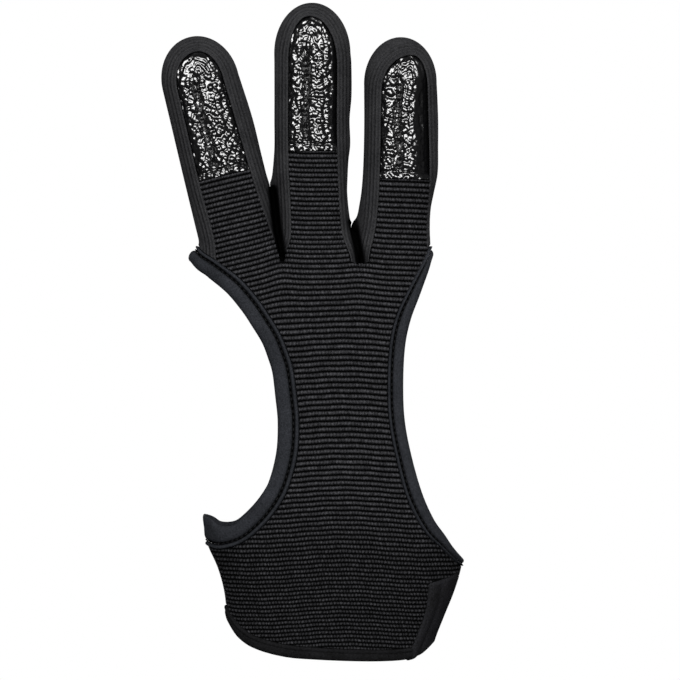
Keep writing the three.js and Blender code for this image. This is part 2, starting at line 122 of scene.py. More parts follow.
# x, z, width of the folded edge, from the knuckles to the cuff: the line where it meets the palm panel
LITTLE_FINGER_EDGE = [
    (-48.0, 121.0, 5.0), (-42.5, 112.6, 5.5), (-39.8, 108.2, 5.8), (-35.1, 104.9, 6.0), (-27.9, 99.6, 6.3),
    (-22.4, 93.5, 6.3), (-18.6, 88.0, 6.3), (-15.3, 82.6, 6.3), (-13.1, 77.3, 6.4), (-11.4, 72.0, 6.5),
    (-10.3, 64.2, 6.6), (-9.5, 55.5, 6.6), (-10.1, 45.1, 6.6), (-13.1, 34.6, 6.5), (-17.7, 27.1, 6.4),
    (-23.6, 21.1, 6.3), (-28.5, 18.0, 6.3), (-34.0, 16.5, 7.5), (-38.0, 17.3, 9.5), (-45.0, 20.0, 9.5),
]
THUMB_EDGE = [
    (36.0, 119.0, 3.8), (31.5, 110.4, 3.8), (29.1, 105.2, 4.0), (24.1, 95.8, 4.6), (20.7, 88.6, 4.9),
    (18.6, 80.4, 5.0), (17.8, 69.6, 5.0), (18.1, 56.8, 5.0), (20.2, 45.1, 5.0), (23.7, 32.2, 5.3),
    (28.9, 22.4, 4.8), (34.2, 17.0, 3.6), (39.0, 12.3, 2.6), (46.0, 6.0, 2.6),
]
# x, z of the hem's upper edge, and how far down it reaches
HEM_EDGE = [
    (-44.0, 7.0, 3.6), (-37.0, 3.2, 3.6), (-32.8, -0.8, 3.7), (-31.0, -3.4, 3.8), (-26.6, -7.9, 3.9),
    (-21.2, -10.4, 3.9), (-13.0, -12.2, 3.9), (-4.9, -12.9, 3.8), (6.7, -13.5, 3.7), (16.0, -13.8, 3.6),
    (24.0, -13.6, 3.6), (30.0, -12.4, 3.6), (35.0, -9.5, 3.6), (44.0, 0.0, 3.6),
]
# x, z of the creases where two fingers press together: the cloth is drawn in there, and darkened with painted
# shade
WEB_CREASES = [
    [(-17.7, 127.0), (-17.3, 124.0), (-16.3, 114.7), (-15.3, 109.7), (-14.6, 105.2)],
    [(7.0, 117.0), (8.0, 112.0), (8.9, 107.5), (9.5, 104.0)],
]
# x, z of the strap's sewn end, and of its upper and lower edges on the palm side
STRAP_SEAM = [
    (48.0, 11.6), (39.7, 8.9), (34.9, 7.1), (31.3, 6.6), (30.4, 4.6), (29.6, -1.8), (27.8, -7.6),
    (25.1, -14.6), (22.0, -24.0),
]
STRAP_FRONT_TOP = [(20.0, 6.3), (30.7, 6.3), (34.9, 7.1), (39.0, 8.6), (44.0, 10.0)]
STRAP_FRONT_FOOT = [
    (18.0, -18.3), (22.0, -17.9), (25.5, -17.3), (28.5, -16.2), (31.0, -14.4), (33.0, -12.2), (35.5, -11.6),
    (44.0, -12.8),
]
# across, above the cloth: the sections of a side opening's folded edge and of the hem
BINDING_PROFILE = [
    (0.0, -1.2), (0.0, -0.3), (0.06, 0.14), (0.24, 0.42), (0.5, 0.52), (0.78, 0.42), (0.98, 0.1),
    (1.15, -0.35), (1.4, -0.55), (1.75, -0.55), (2.0, -0.3), (2.25, 0.05), (2.7, 0.28), (3.3, 0.42),
    (4.1, 0.46), (4.9, 0.38), (5.6, 0.14), (6.1, -0.25), (6.4, -0.8), (6.5, -1.3), (6.35, -1.8),
    (5.9, -2.3), (5.1, -2.65), (3.6, -2.75), (2.0, -2.8), (0.5, -2.95), (-1.8, -3.05), (-2.0, -2.85),
    (-1.8, -2.65), (0.0, -2.4),
]
HEM_PROFILE = [
    (0.0, -1.2), (0.0, -0.5), (0.06, 0.1), (0.25, 0.4), (0.6, 0.52), (1.0, 0.42), (1.25, 0.26),
    (1.5, 0.34), (2.2, 0.46), (2.9, 0.36), (3.4, 0.1), (3.7, -0.4), (3.8, -1.1), (3.65, -1.8),
    (3.1, -2.4), (2.2, -2.7), (1.0, -2.75), (-0.6, -2.75), (-0.8, -2.6), (-0.6, -2.4), (0.0, -2.35),
]
# z, distance between two ribs
RIB_PITCH = [(-25, 1.25), (3, 1.25), (15.5, 1.40), (37, 1.55), (50, 1.68), (85, 1.68), (105, 1.55)]
# name, line, side of the hand
SIDE_EDGES = [("little_finger_side_binding", LITTLE_FINGER_EDGE, -1), ("thumb_side_binding", THUMB_EDGE, 1)]


def smooth_read(rows, at):
    """A table's later columns at places along its first one, on smooth lines through its rows."""
    rows = np.asarray(rows, float)
    key, values = rows[:, 0], rows[:, 1:]
    before, after = np.maximum(np.arange(len(key)) - 1, 0), np.minimum(np.arange(len(key)) + 1, len(key) - 1)
    slopes = (values[after] - values[before]) / (key[after] - key[before])[:, None]
    at = np.clip(np.asarray(at, float), key[0], key[-1])
    i = np.clip(np.searchsorted(key, at, side="right") - 1, 0, len(key) - 2)
    span = (key[i + 1] - key[i])[..., None]
    t = (at - key[i])[..., None] / span
    return (values[i] * (2 * t**3 - 3 * t**2 + 1) + slopes[i] * span * (t**3 - 2 * t**2 + t)
            + values[i + 1] * (3 * t**2 - 2 * t**3) + slopes[i + 1] * span * (t**3 - t**2))


def smoothstep(t):
    t = np.clip(t, 0, 1)
    return t * t * (3 - 2 * t)


def smooth_line(points, steps):
    """A smooth line through a list of points, cut in equal shares of its parts."""
    points = np.asarray(points, float)
    rows = np.column_stack([np.arange(len(points)), points])
    return smooth_read(rows, np.linspace(0, len(points) - 1, steps))


# The form of the hand under the cloth's outer face


def body_distance(points):
    x, y, z = points.T
    p = SQUARENESS
    left, right, front, back = smooth_read(HAND_SECTIONS, z / PALM_HEIGHT).T
    a = np.where(x < 0, left, right) * PALM_WIDTH
    b = np.where(y < 0, front, back) * PALM_DEPTH
    u, v, over = np.abs(x) / a, np.abs(y) / b, np.maximum(z - PALM_HEIGHT, 0) / WEB_RISE
    total = np.maximum(u**p + v**p + over**p, 1e-9)
    slope = total ** (1 / p - 1) * np.sqrt(
        (u ** (p - 1) / a) ** 2 + (v ** (p - 1) / b) ** 2 + (over ** (p - 1) / WEB_RISE) ** 2)
    return (total ** (1 / p) - 1) / np.maximum(slope, 1e-3)


def in_finger(finger, x, z):
    """Distances along and across a finger, from its root on the knuckles."""
    lean = math.radians(finger["lean"])
    dx, dz = x - finger["base"] * PALM_WIDTH, z - PALM_HEIGHT
    return math.sin(lean) * dx + math.cos(lean) * dz, math.cos(lean) * dx - math.sin(lean) * dz


def placed(finger, along, across):
    """The front view's x and z of a place on a finger."""
    lean = math.radians(finger["lean"])
    return np.stack([
        finger["base"] * PALM_WIDTH + math.sin(lean) * along + math.cos(lean) * across,
        PALM_HEIGHT + math.cos(lean) * along - math.sin(lean) * across], axis=-1)


def finger_distance(points, finger):
    x, y, z = points.T
    p = SQUARENESS
    along, across = in_finger(finger, x, z)
    share = along / finger["length"]
    shift, width, depth = smooth_read(finger["tube"], share).T
    w, d = width * finger["width"] / 2, depth * FINGER_DEPTH / 2
    u = np.abs(across - shift * finger["width"]) / w
    v = np.abs(y + TIP_DROP * np.maximum(share, 0) ** 2) / d
    s = np.maximum(u**p + v**p, 1e-9) ** (1 / p)
    over = np.maximum(along - finger["shoulder"], 0) / finger["cap"]
    q = np.hypot(s, over)
    slope_s = s ** (1 - p) * np.hypot(u ** (p - 1) / w, v ** (p - 1) / d)
    slope = np.hypot(s * slope_s, over / finger["cap"]) / q
    return (q - 1) / np.maximum(slope, 1e-3)


def form_distance(points):
    """About how far points lie outside the hand, with the fingers joined smoothly to the palm."""
    total = body_distance(points)
    for finger in FINGERS:
        other = finger_distance(points, finger)
        h = np.maximum(BLEND - np.abs(total - other), 0) / BLEND
        total = np.minimum(total, other) - h * h * BLEND / 4
    return total


def normals_at(points):
    step = 0.05
    g = np.stack([form_distance(points + e) - form_distance(points - e) for e in np.eye(3) * step], axis=1)
    return g / np.maximum(np.linalg.norm(g, axis=1), 1e-9)[:, None]


def settle(points, rounds=4):
    """Points moved straight on to the form's surface."""
    for _ in range(rounds):
        points = points - normals_at(points) * form_distance(points)[:, None]
    return points


def skin_depth(x, z, side, offset):
    """Where the surface lies through the hand at points of the front view; side -1 is the palm's."""
    near, far = np.zeros(x.shape), np.full(x.shape, 32.0)
    for _ in range(22):
        middle = (near + far) / 2
        points = np.stack([x.ravel(), (side * middle).ravel(), z.ravel()], axis=1)
        within = (form_distance(points) < offset).reshape(x.shape)
        near, far = np.where(within, middle, near), np.where(within, far, middle)
    return side * near


def half_width(z, sign):
    left, right, _, _ = np.moveaxis(smooth_read(HAND_SECTIONS, z / PALM_HEIGHT), -1, 0)
    return np.where(sign < 0, left, right) * PALM_WIDTH


# Meshes


def mesh_object(name, points, faces):
    mesh = bpy.data.meshes.new(name)
    mesh.from_pydata((np.asarray(points, float) * MM).tolist(), [], [list(map(int, f)) for f in faces])
    made = bpy.data.objects.new(name, mesh)
    bpy.context.scene.collection.objects.link(made)
    return made


def face_outwards(made):
    bm = bmesh.new()
    bm.from_mesh(made.data)
    bmesh.ops.recalc_face_normals(bm, faces=bm.faces)
    bm.to_mesh(made.data)
    bm.free()
    return made


def grid_faces(rows, columns, wrap=False):
    """Quads between the points of a grid, each row joined to itself where it wraps."""
    index = np.arange(rows * columns).reshape(rows, columns)
    right = np.roll(index, -1, axis=1)
    a, b, c, d = index[:-1], right[:-1], right[1:], index[1:]
    if not wrap:
        a, b, c, d = (part[:, :-1] for part in (a, b, c, d))
    return np.stack([a, b, c, d], axis=-1).reshape(-1, 4).tolist()


def tube_of(name, rings, closed=False):
    """A solid through rings of equally many points, with a face at each end or joined end to end."""
    rings = np.asarray(rings, float)
    rows, sides, _ = rings.shape
    faces = (np.array(grid_faces(rows + closed, sides, wrap=True)) % (rows * sides)).tolist()
    if not closed:
        faces += [list(range(sides))[::-1], list(range((rows - 1) * sides, rows * sides))]
    return face_outwards(mesh_object(name, rings.reshape(-1, 3), faces))


def rim_of(rows, columns):
    """The outermost points of a grid, in their order round it."""
    index = np.arange(rows * columns).reshape(rows, columns)
    return np.concatenate([index[0, :-1], index[:-1, -1], index[-1, :0:-1], index[:0:-1, 0]])


def slab_of(name, grid, level):
    """A closed solid between a grid of points and the plane y = level behind it."""
    rows, columns, _ = grid.shape
    points = grid.reshape(-1, 3)
    rim = rim_of(rows, columns)
    foot = points[rim].copy()
    foot[:, 1] = level
    low = len(points) + np.arange(len(rim))
    faces = grid_faces(rows, columns)
    faces += np.stack([rim, np.roll(rim, -1), np.roll(low, -1), low], axis=1).tolist()
    faces.append(low.tolist())
    return face_outwards(mesh_object(name, np.concatenate([points, foot]), faces))


def prism(outline, low=-FAR, high=FAR):
    """A closed solid through the hand's depth over an outline of the front view."""
    outline = np.asarray(outline, float)
    count = len(outline)
    points = np.concatenate([np.insert(outline, 1, low, axis=1), np.insert(outline, 1, high, axis=1)])
    near = np.arange(count)
    faces = np.stack([near, np.roll(near, -1), np.roll(near, -1) + count, near + count], axis=1).tolist()
    faces += [near.tolist(), (near + count)[::-1].tolist()]
    return face_outwards(mesh_object("outline", points, faces))


def slanted(made):
    """Leans the partings between fingers sideways through the hand, so that no light passes through."""
    points = points_of(made)
    points[:, 0] -= (points[:, 1] - PARTING_FRONT) * np.where(points[:, 0] < -5, 0.08, 0.16)
    move_points(made, points)
    return made


def joined(target, operation, *others):
    """target after cutting, joining or keeping what it shares with other closed solids, which are used up."""
    for other in others:
        modifier = target.modifiers.new("join", "BOOLEAN")
        modifier.operation, modifier.solver, modifier.object = operation, "MANIFOLD", other
        made = bpy.data.meshes.new_from_object(target.evaluated_get(bpy.context.evaluated_depsgraph_get()))
        target.modifiers.clear()
        target.data = made
        bpy.data.objects.remove(other)
    return target


def points_of(made):
    co = np.zeros(len(made.data.vertices) * 3)
    made.data.vertices.foreach_get("co", co)
    return co.reshape(-1, 3) / MM


def move_points(made, points):
    made.data.vertices.foreach_set("co", (points * MM).astype(np.float32).ravel())
    made.data.update()


def give(made, name, values):
    """A named number or vector on each point of a piece."""
    kind = "FLOAT" if values.ndim == 1 else "FLOAT_VECTOR"
    attribute = made.data.attributes.new(name, kind, "POINT")
    attribute.data.foreach_set("value" if values.ndim == 1 else "vector", values.astype(np.float32).ravel())


def give_uv(made, u, v):
    corners = np.zeros(len(made.data.loops), int)
    made.data.loops.foreach_get("vertex_index", corners)
    layer = made.data.uv_layers.new(name="weave")
    layer.data.foreach_set("uv", np.stack([u, v], axis=1)[corners].astype(np.float32).ravel())


# Outlines in the front view


def moved(line, distance):
    """A line moved sideways, positive to the left of its direction."""
    before, after = np.vstack([line[:1], line[:-1]]), np.vstack([line[1:], line[-1:]])
    way = after - before
    way = way / np.linalg.norm(way, axis=1)[:, None]
    return line + np.stack([-way[:, 1], way[:, 0]], axis=1) * np.reshape(distance, (-1, 1))


def opening_outline(edge, side):
    """All of the front view beyond a side opening's inner edge; side -1 is the little finger's."""
    line = moved(smooth_line(edge, 240)[:, :2], -side * SEAM_GAP)
    return np.vstack([line, [(side * FAR, line[-1, 1]), (side * FAR, line[0, 1])]])


def window_outline(finger, grow):
    """The seam round a finger's strip and pad, grown by a distance."""
    rows = np.asarray(finger["window"])
    share = np.linspace(rows[0, 0], rows[-1, 0], 60)
    left, right = smooth_read(rows, share).T * finger["width"]
    start = share[-1] * finger["length"]
    middle = ((rows[-1, 1] + rows[-1, 2]) / 2 + finger["peak"]) * finger["width"]
    rise = finger["length"] - finger["border"] - start + grow
    turn = np.radians(np.linspace(177, 3, 44))
    reach = np.where(np.cos(turn) < 0, middle - left[-1] + grow, right[-1] + grow - middle)
    cap = placed(finger, start + rise * np.sin(turn), middle + np.cos(turn) * reach)
    return np.vstack([placed(finger, share * finger["length"], left - grow), cap,
                      placed(finger, share * finger["length"], right + grow)[::-1]])


def pad_line(finger):
    return finger["length"] - finger["border"] - finger["pad"]


def across_finger(finger, low, high):
    """The outline of all that lies between two distances along a finger."""
    reach = finger["width"]
    return [placed(finger, low, -reach), placed(finger, low, reach),
            placed(finger, high, reach), placed(finger, high, -reach)]


def distance_to(line, x, z):
    """How far points of the front view are from a line."""
    steps = np.concatenate([[0], np.cumsum(np.linalg.norm(np.diff(line, axis=0), axis=1))])
    at = np.arange(0, steps[-1], 0.08)
    fine = np.stack([np.interp(at, steps, line[:, 0]), np.interp(at, steps, line[:, 1])], axis=1)
    tree = KDTree(len(fine))
    for i, (px, pz) in enumerate(fine):
        tree.insert((px, pz, 0), i)
    tree.balance()
    return np.array([tree.find((a, b, 0))[2] for a, b in zip(x, z)])


def under_hem():
    """All of the front view below the hem's upper edge."""
    line = moved(smooth_line(HEM_EDGE, 200)[:, :2], 0.2)
    return np.vstack([line, [(FAR, line[-1, 1]), (FAR, -FAR), (-FAR, -FAR), (-FAR, line[0, 1])]])


def strap_field():
    """All of the front view that the strap covers."""
    line = moved(smooth_line(STRAP_SEAM, 160), -SEAM_GAP)
    return np.vstack([line, [(FAR, -FAR), (FAR, line[0, 1])]])


# Coarse solids of the hand's inside, which hollow the cloth out


def bowed(turn):
    """A turn's cosine and sine, squared off as the sections of the hand and the fingers are."""
    return [np.sign(v) * np.abs(v) ** (2 / SQUARENESS) for v in (np.cos(turn), np.sin(turn))]


def body_solid(offset, sides=72, foot=-40.0, step=2.5):
    c, s = bowed((np.arange(sides) + 0.5) / sides * 2 * np.pi)
    levels = [(z, 1.0) for z in [*np.arange(foot, PALM_HEIGHT, step), PALM_HEIGHT]]
    for turn in np.radians(np.arange(7 * step, 88, 7 * step)):
        shrink, rise = bowed(turn)
        levels.append((PALM_HEIGHT + rise * (WEB_RISE + offset), shrink))
    rings = []
    for z, scale in levels:
        left, right, front, back = smooth_read(HAND_SECTIONS, z / PALM_HEIGHT)
        x = c * (np.where(c < 0, left, right) * PALM_WIDTH + offset) * scale
        y = s * (np.where(s < 0, front, back) * PALM_DEPTH + offset) * scale
        rings.append(np.stack([x, y, np.full(sides, z)], axis=1))
    return tube_of("inside", rings)


def finger_solid(finger, offset, sides=40, step=3.0):
    c, s = bowed((np.arange(sides) + 0.5) / sides * 2 * np.pi)
    shoulder = finger["length"] + offset - finger["cap"]
    levels = [(along, 1.0) for along in np.arange(-0.28 * finger["length"], shoulder - step / 2, step)]
    for turn in np.radians(np.arange(0, 88.5, 90 * step / 14)):
        levels.append((shoulder + math.sin(turn) * finger["cap"], math.cos(turn)))
    rings = []
    for along, scale in levels:
        share = along / finger["length"]
        shift, width, depth = smooth_read(finger["tube"], share)
        across = c * (width * finger["width"] / 2 + offset) * scale + shift * finger["width"]
        y = s * (depth * FINGER_DEPTH / 2 + offset) * scale - TIP_DROP * max(share, 0) ** 2
        rings.append(np.insert(placed(finger, along, across), 1, y, axis=1))
    return tube_of("finger", rings)


def inside(depth):
    """Solids of all that lies deeper under the cloth's outer face than a depth."""
    return [body_solid(-depth), *[finger_solid(finger, -depth) for finger in FINGERS]]


def side_openings():
    """Solids of all that lies beyond the folded edges of the two side openings."""
    return [prism(opening_outline(edge, side)) for _, edge, side in SIDE_EDGES]


# Palm panel


RIB_LEVELS = np.linspace(-25, PALM_HEIGHT, 1400)
LEVEL_PITCH = np.interp((RIB_LEVELS[1:] + RIB_LEVELS[:-1]) / 2, *np.array(RIB_PITCH).T)
RIB_COUNT = np.concatenate([[0], np.cumsum(np.diff(RIB_LEVELS) / LEVEL_PITCH)])


def rib_number(x, z):
    """Which rib a point of the palm panel lies on, counted up from the wrist, with its share of the rib."""
    arch = -1.8 * (1 - np.exp(-(((x - 4) / 19) ** 2))) + 0.06 * np.sin(x * 0.7 + z * 0.3)
    reach = np.where(z > PALM_HEIGHT, 1.5, 1.5 + (PALM_HEIGHT - z) * 0.5)
    after_ring = smoothstep((x + 15) / reach * 0.5 + 0.5)
    after_middle = smoothstep((x - 9.6) / reach * 0.5 + 0.5)
    shares = [1 - after_ring, after_ring * (1 - after_middle), after_middle]
    levels = [in_finger(finger, x, z)[0] + finger["web_level"] for finger in FINGERS]
    strips = sum(share * level for share, level in zip(shares, levels))
    strips = strips - 0.6 * np.exp(-(((x + 15) / 5) ** 2)) - 0.6 * np.exp(-(((x - 9.6) / 5) ** 2))
    way = smoothstep((z - 74) / 32)
    level = (1 - way) * (z - PALM_HEIGHT - arch) + way * strips
    pitch = sum(share * finger["pitch"] for share, finger in zip(shares, FINGERS))
    below = np.interp(level + PALM_HEIGHT, RIB_LEVELS, RIB_COUNT)
    return np.where(level < 0, below, RIB_COUNT[-1] + level / pitch)


def palm_grid():
    """Points of the ribbed cloth's outer face, in rows that follow the ribs."""
    _, c = bowed(np.linspace(-np.pi / 2, np.pi / 2, 150))
    low, high = rib_number(np.zeros(2), np.array([-19.0, 143.0]))
    levels = np.arange(math.floor(low), math.ceil(high) + 1e-6, 1 / ROWS_PER_RIB)
    wanted = np.repeat(levels[:, None], len(c), axis=1)
    below, above = np.full(wanted.shape, -24.0), np.full(wanted.shape, 160.0)
    for _ in range(25):
        z = (below + above) / 2
        x = c * (half_width(z, c) - RIBBED_SINK)
        short = rib_number(x, z) < wanted
        below, above = np.where(short, z, below), np.where(short, above, z)
    floor = -0.16 - 1.2 * smoothstep((z - 100) / 4)
    y = np.minimum(skin_depth(x, z, -1, -RIBBED_SINK), floor)
    return np.stack([x, y, z], axis=-1)


def lapped(made):
    """Slants the seams at the hand's sides and over the knuckles, so that no light passes through."""
    points = points_of(made)
    inwards = LAP * np.clip(-form_distance(points) / SMOOTH_WALL, 0, 1)
    knuckles = (np.abs(points[:, 2] - PALM_HEIGHT + SEAM_GAP / 2) < 0.4) & (points[:, 1] > 0.5)
    sides = (np.abs(points[:, 1]) < 0.4) & (points[:, 2] < PALM_HEIGHT - 1)
    points[:, 2] += knuckles * inwards
    points[:, 1] += sides * inwards
    move_points(made, points)
    return made


def ribbed_strip(finger, foot):
    """The window's field on a finger, from a distance along it up to the leather."""
    strip = prism(window_outline(finger, -SEAM_GAP / 2))
    return joined(strip, "INTERSECT", prism(across_finger(finger, foot, pad_line(finger) - SEAM_GAP / 2)))


def palm_panel():
    slab = slab_of("palm_panel_cloth", palm_grid(), -SEAM_GAP / 2)
    top = PALM_HEIGHT - SEAM_GAP
    field = prism([(-FAR, -FAR), (FAR, -FAR), (FAR, top), (-FAR, top)])
    joined(field, "UNION", *[ribbed_strip(finger, -FAR) for finger in FINGERS])
    notch = [(5.4, PALM_HEIGHT + 1), (9.35, PALM_HEIGHT - V_DIP - SEAM_GAP), (13.2, PALM_HEIGHT + 1)]
    joined(field, "DIFFERENCE", prism(notch))
    joined(field, "UNION", *[ribbed_strip(finger, 0.0) for finger in FINGERS[1:]])
    joined(slab, "INTERSECT", field)
    joined(slab, "DIFFERENCE", *side_openings(), prism(under_hem()), prism(strap_field()),
           *inside(RIBBED_SINK + RIBBED_WALL))
    return lapped(slab)


def back_panel():
    rows, columns = 200, 110
    _, c = bowed(np.linspace(np.pi / 2, -np.pi / 2, columns))
    z = np.repeat(np.linspace(-20, PALM_HEIGHT - SEAM_GAP, rows)[:, None], columns, axis=1)
    x = c * half_width(z, c)
    y = np.maximum(skin_depth(x, z, 1, 0.0), SEAM_GAP / 2 + 0.01)
    slab = slab_of("back_panel_cloth", np.stack([x, y, z], axis=-1), SEAM_GAP / 2)
    left, right = STRAP_STEP - 0.4, PALM_WIDTH
    tops = [(left, strap_top(left) + 0.5), (right, strap_top(right) + 0.5)]
    under_strap = [*tops, (right, -FAR), (left, -FAR)]
    joined(slab, "DIFFERENCE", *side_openings(), prism(under_hem()), prism(under_strap), *inside(SMOOTH_WALL))
    return lapped(slab)


def finger_field(index, inset):
    """A finger's share of the web, between planes that lean half way to its neighbours."""
    def parting(before, after, side):
        if before is None or after is None:
            return [(side * FAR, PALM_HEIGHT), (side * FAR, FAR)]
        lean = math.radians((before["lean"] + after["lean"]) / 2)
        x = before["fork"] * PALM_WIDTH - side * (SEAM_GAP / 2 + inset)
        return [(x, PALM_HEIGHT), (x + math.tan(lean) * FAR, PALM_HEIGHT + FAR)]
    around = [None, *FINGERS, None]
    finger = FINGERS[index]
    left = parting(around[index], around[index + 1], -1)
    right = parting(around[index + 1], around[index + 2], 1)
    foot = [left[0], right[0]]
    if inset == 0 and finger["name"] == "middle_finger":
        foot = [left[0], (6.0, PALM_HEIGHT), (right[0][0], PALM_HEIGHT - V_DIP)]
    if inset == 0 and finger["name"] == "index_finger":
        foot = [(left[0][0], PALM_HEIGHT - V_DIP), (12.6, PALM_HEIGHT), right[0]]
    return slanted(prism([*foot, right[1], left[1]], -40, 40))


def creased(points):
    """Points with the cloth at the front drawn in where two fingers press together."""
    points = points.copy()
    front = smoothstep((1.0 - points[:, 1]) / 8)
    for crease in WEB_CREASES:
        near = distance_to(np.array(crease), points[:, 0], points[:, 2])
        points[:, 1] += front * (4.0 * np.exp(-((near / 1.1) ** 2)) + 2.5 * np.exp(-((near / 3.0) ** 2)))
    return points


def painted_crease_shade(points):
    """Painted shade for the cloth: from 0 on open cloth to 1 in the slit between two fingers, fading out
    towards the back.
    """
    near = [distance_to(np.array(crease), points[:, 0], points[:, 2]) for crease in WEB_CREASES]
    return np.exp(-((np.min(near, axis=0) / 1.6) ** 4)) * smoothstep((9 - points[:, 1]) / 6)


def finger_sleeve(index):
    finger = FINGERS[index]
    sides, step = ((150, 0.6))
    sleeve = finger_solid(finger, 0.0, sides, step)
    joined(sleeve, "UNION", body_solid(0.0, sides=300, foot=90.0, step=0.6))
    joined(sleeve, "INTERSECT", finger_field(index, 0))
    points = points_of(sleeve)
    near = np.abs(form_distance(points)) < 1.5
    points[near] = settle(points[near])
    move_points(sleeve, points)
    hollow = joined(finger_solid(finger, -SMOOTH_WALL), "INTERSECT", finger_field(index, SMOOTH_WALL))
    windows = [prism(window_outline(each, SEAM_GAP / 2), -FAR, SEAM_GAP / 2) for each in FINGERS]
    joined(sleeve, "DIFFERENCE", hollow, body_solid(-SMOOTH_WALL), *side_openings(), *windows)
    sleeve.name = finger["name"] + "_sleeve_cloth"
    return lapped(sleeve)


def finger_pad(finger):
    """The leather of a fingertip: a fine grid along and across the finger, cut to the window."""
    step = 0.22
    low, high = pad_line(finger) + SEAM_GAP / 2, finger["length"] - finger["border"] + 1.0
    left, right = -0.42 * finger["width"], 0.48 * finger["width"]
    along, across = np.meshgrid(np.arange(low, high, step), np.arange(left, right, step), indexing="ij")
    xz = placed(finger, along, across)
    y = skin_depth(xz[..., 0], xz[..., 1], -1, -RIBBED_SINK)
    y = np.minimum(y, -TIP_DROP - 0.5)
    pad = slab_of(finger["name"] + "_pad_leather", np.stack([xz[..., 0], y, xz[..., 1]], axis=-1), -TIP_DROP)
    joined(pad, "INTERSECT", prism(window_outline(finger, -SEAM_GAP / 2)))
    joined(pad, "DIFFERENCE", finger_solid(finger, -RIBBED_SINK - LEATHER_WALL, sides=80, step=1.5))
    return pad


# Folded edges: strips that follow a line on the hand


def strap_top(x):
    return STRAP_LEVEL * PALM_HEIGHT + STRAP_RISE * (PALM_WIDTH / 2 - x) / (PALM_WIDTH / 2 + STRAP_REACH)


def spaced(line, step, closed):
    """A line again with points about a step apart, all its columns kept."""
    ends = np.vstack([line, line[:1]]) if closed else line
    along = np.concatenate([[0], np.cumsum(np.linalg.norm(np.diff(ends[:, :3], axis=0), axis=1))])
    count = max(int(round(along[-1] / step)), 8)
    at = np.linspace(0, along[-1], count + 1)
    at = at[:-1] if closed else at
    return np.stack([np.interp(at, along, ends[:, k]) for k in range(ends.shape[1])], axis=1)


def half_path(edge, side):
    """A front-view line lifted on to the front (-1) or back (1) of the hand, between its outlines."""
    line = smooth_line(edge, 900)
    x, z, width = line.T
    within = form_distance(np.stack([x, np.zeros_like(x), z], axis=1)) < 0
    first, last = np.flatnonzero(within)[[0, -1]]
    x, z, width = x[first:last + 1], z[first:last + 1], width[first:last + 1]
    y = skin_depth(x, z, side, 0.0)
    return np.stack([x, y, z, width], axis=1)


def loop_path(edge, step):
    """A line round a side opening, down the front and up the back."""
    front, back = half_path(edge, -1), half_path(edge, 1)
    line = spaced(np.vstack([front, back[::-1]]), step / 3, True)
    for _ in range(PATH_ROUNDS):
        line = (np.roll(line, 1, axis=0) + 2 * line + np.roll(line, -1, axis=0)) / 4
        line[:, :3] = settle(line[:, :3], rounds=1)
    return spaced(line, step, True)


def ways_along(base, closed):
    """The direction of a line at each of its points."""
    way = np.roll(base, -1, axis=0) - np.roll(base, 1, axis=0) if closed else np.gradient(base, axis=0)
    return way / np.linalg.norm(way, axis=1)[:, None]


def swept(name, path, profile, closed, side, sewn=False):
    """A strip along a path on the hand, from a profile of distances across and above the cloth."""
    base, width = path[:, :3], path[:, 3:4]
    across = np.cross(normals_at(base), ways_along(base, closed)) * side
    across /= np.linalg.norm(across, axis=1)[:, None]
    reach, height = np.array(profile).T
    widest = reach.max()
    wide = FOLD_LINE + (reach - FOLD_LINE) * (width - FOLD_LINE) / (widest - FOLD_LINE)
    wide = np.where(reach <= FOLD_LINE, reach, wide)
    scaled = np.where(width / widest >= 1, wide, reach * (width / widest))
    points = base[:, None] + across[:, None] * scaled[..., None]
    flat = settle(points.reshape(-1, 3), rounds=5)
    normal = normals_at(flat).reshape(points.shape)
    rise = height + np.zeros((len(path), 1))
    if sewn:
        count = round(len(path) * BINDING_STEP / STITCH_PITCH)
        turn = np.arange(len(path)) / len(path) * 2 * np.pi * count
        pull = np.exp(-(((reach - STITCH_LINE) / 0.5) ** 2)) * (height > -1)
        rise = rise + 0.24 * np.cos(turn)[:, None] * pull
    thin = smoothstep((width - 7.0) / 2.5) * smoothstep((reach - 1.5) / 3)
    rise = rise + thin * (-1.0 - rise) * 0.62
    made = tube_of(name, flat.reshape(points.shape) + normal * rise[..., None], closed)
    if sewn:
        # painted shade: the cloth along the row of stitches is darkened through the groove attribute, beside
        # the real dents the stitches pull
        groove = np.exp(-(((reach - STITCH_LINE) / 0.45) ** 2)) * (height > -1)
        give(made, "groove", np.tile(groove, len(path)))
    return made


def hem_path(step):
    """From the strap's seam on the palm side, round the little finger's side, to under the strap behind."""
    front = half_path(HEM_EDGE, -1)[::-1]
    seam = smooth_line(STRAP_SEAM, 300)
    stop = np.interp(front[:, 2], seam[::-1, 1], seam[::-1, 0]) - 0.4
    front = front[front[:, 0] < stop]
    back = half_path(HEM_EDGE, 1)
    back = back[back[:, 0] < STRAP_STEP - 0.6]
    line = spaced(np.vstack([front, back]), step / 3, False)
    for _ in range(PATH_ROUNDS):
        line[1:-1] = (line[:-2] + 2 * line[1:-1] + line[2:]) / 4
        line[:, :3] = settle(line[:, :3], rounds=1)
    return spaced(line, step, False)


